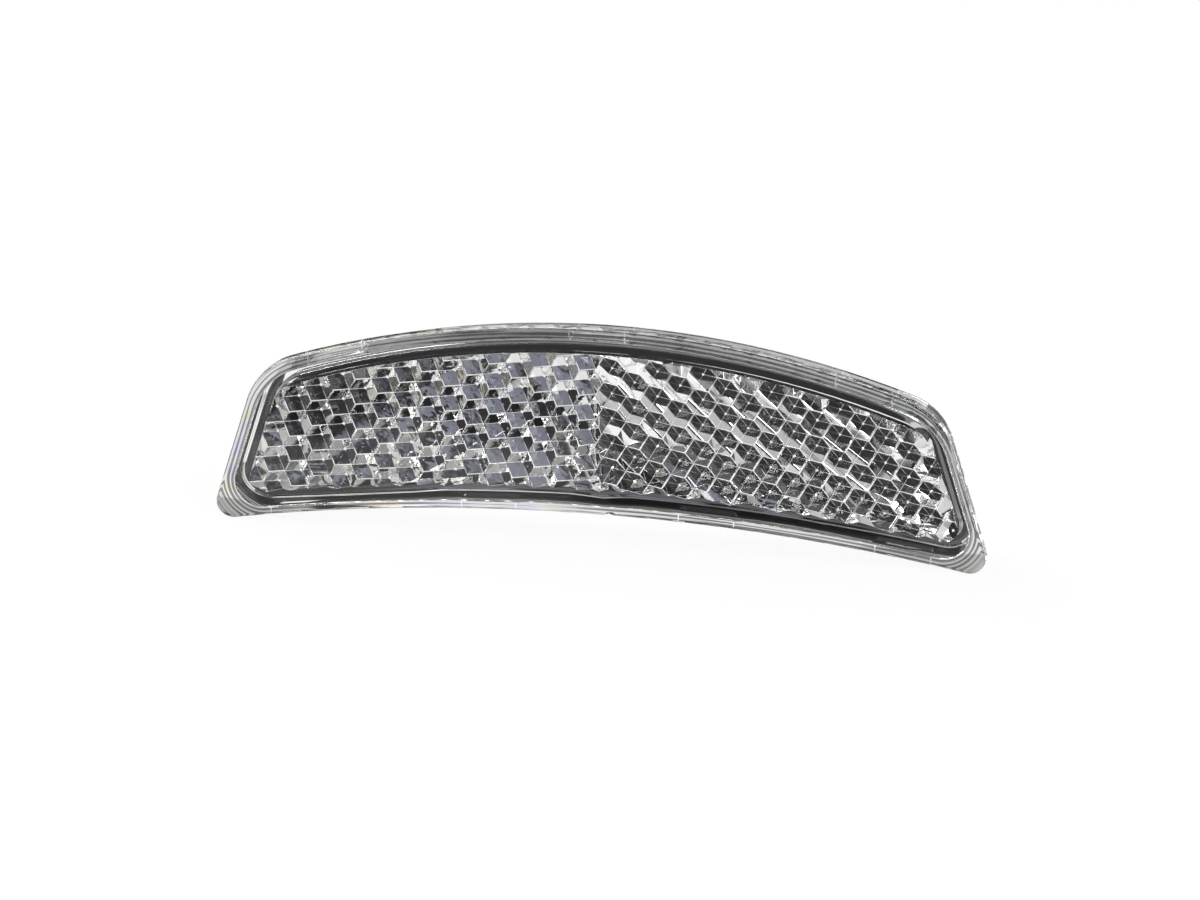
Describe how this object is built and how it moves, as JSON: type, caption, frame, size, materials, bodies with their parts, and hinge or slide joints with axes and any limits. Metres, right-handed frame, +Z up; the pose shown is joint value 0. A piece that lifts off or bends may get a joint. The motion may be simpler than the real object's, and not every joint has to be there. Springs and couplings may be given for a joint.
{
  "type": "bicycle front reflector",
  "caption": "Clear moulded front reflector: an arched strip with a smooth front flange, a skirt that plugs into a lamp housing, snap lugs and a back covered with hexagonal cube-corner prisms.",
  "frame": {"origin": "on the rear face of the flange, in the middle of the narrow strip below the skirt, on the symmetry plane", "axes": "+X along the width, +Y from the smooth front to the back, +Z up"},
  "size_m": [0.08, 0.0064, 0.0232],
  "materials": {
    "clear_acrylic": "clear, high gloss"
  },
  "bodies": {
    "root": {"reflector_lens": "clear_acrylic"}
  },
  "joints": []
}
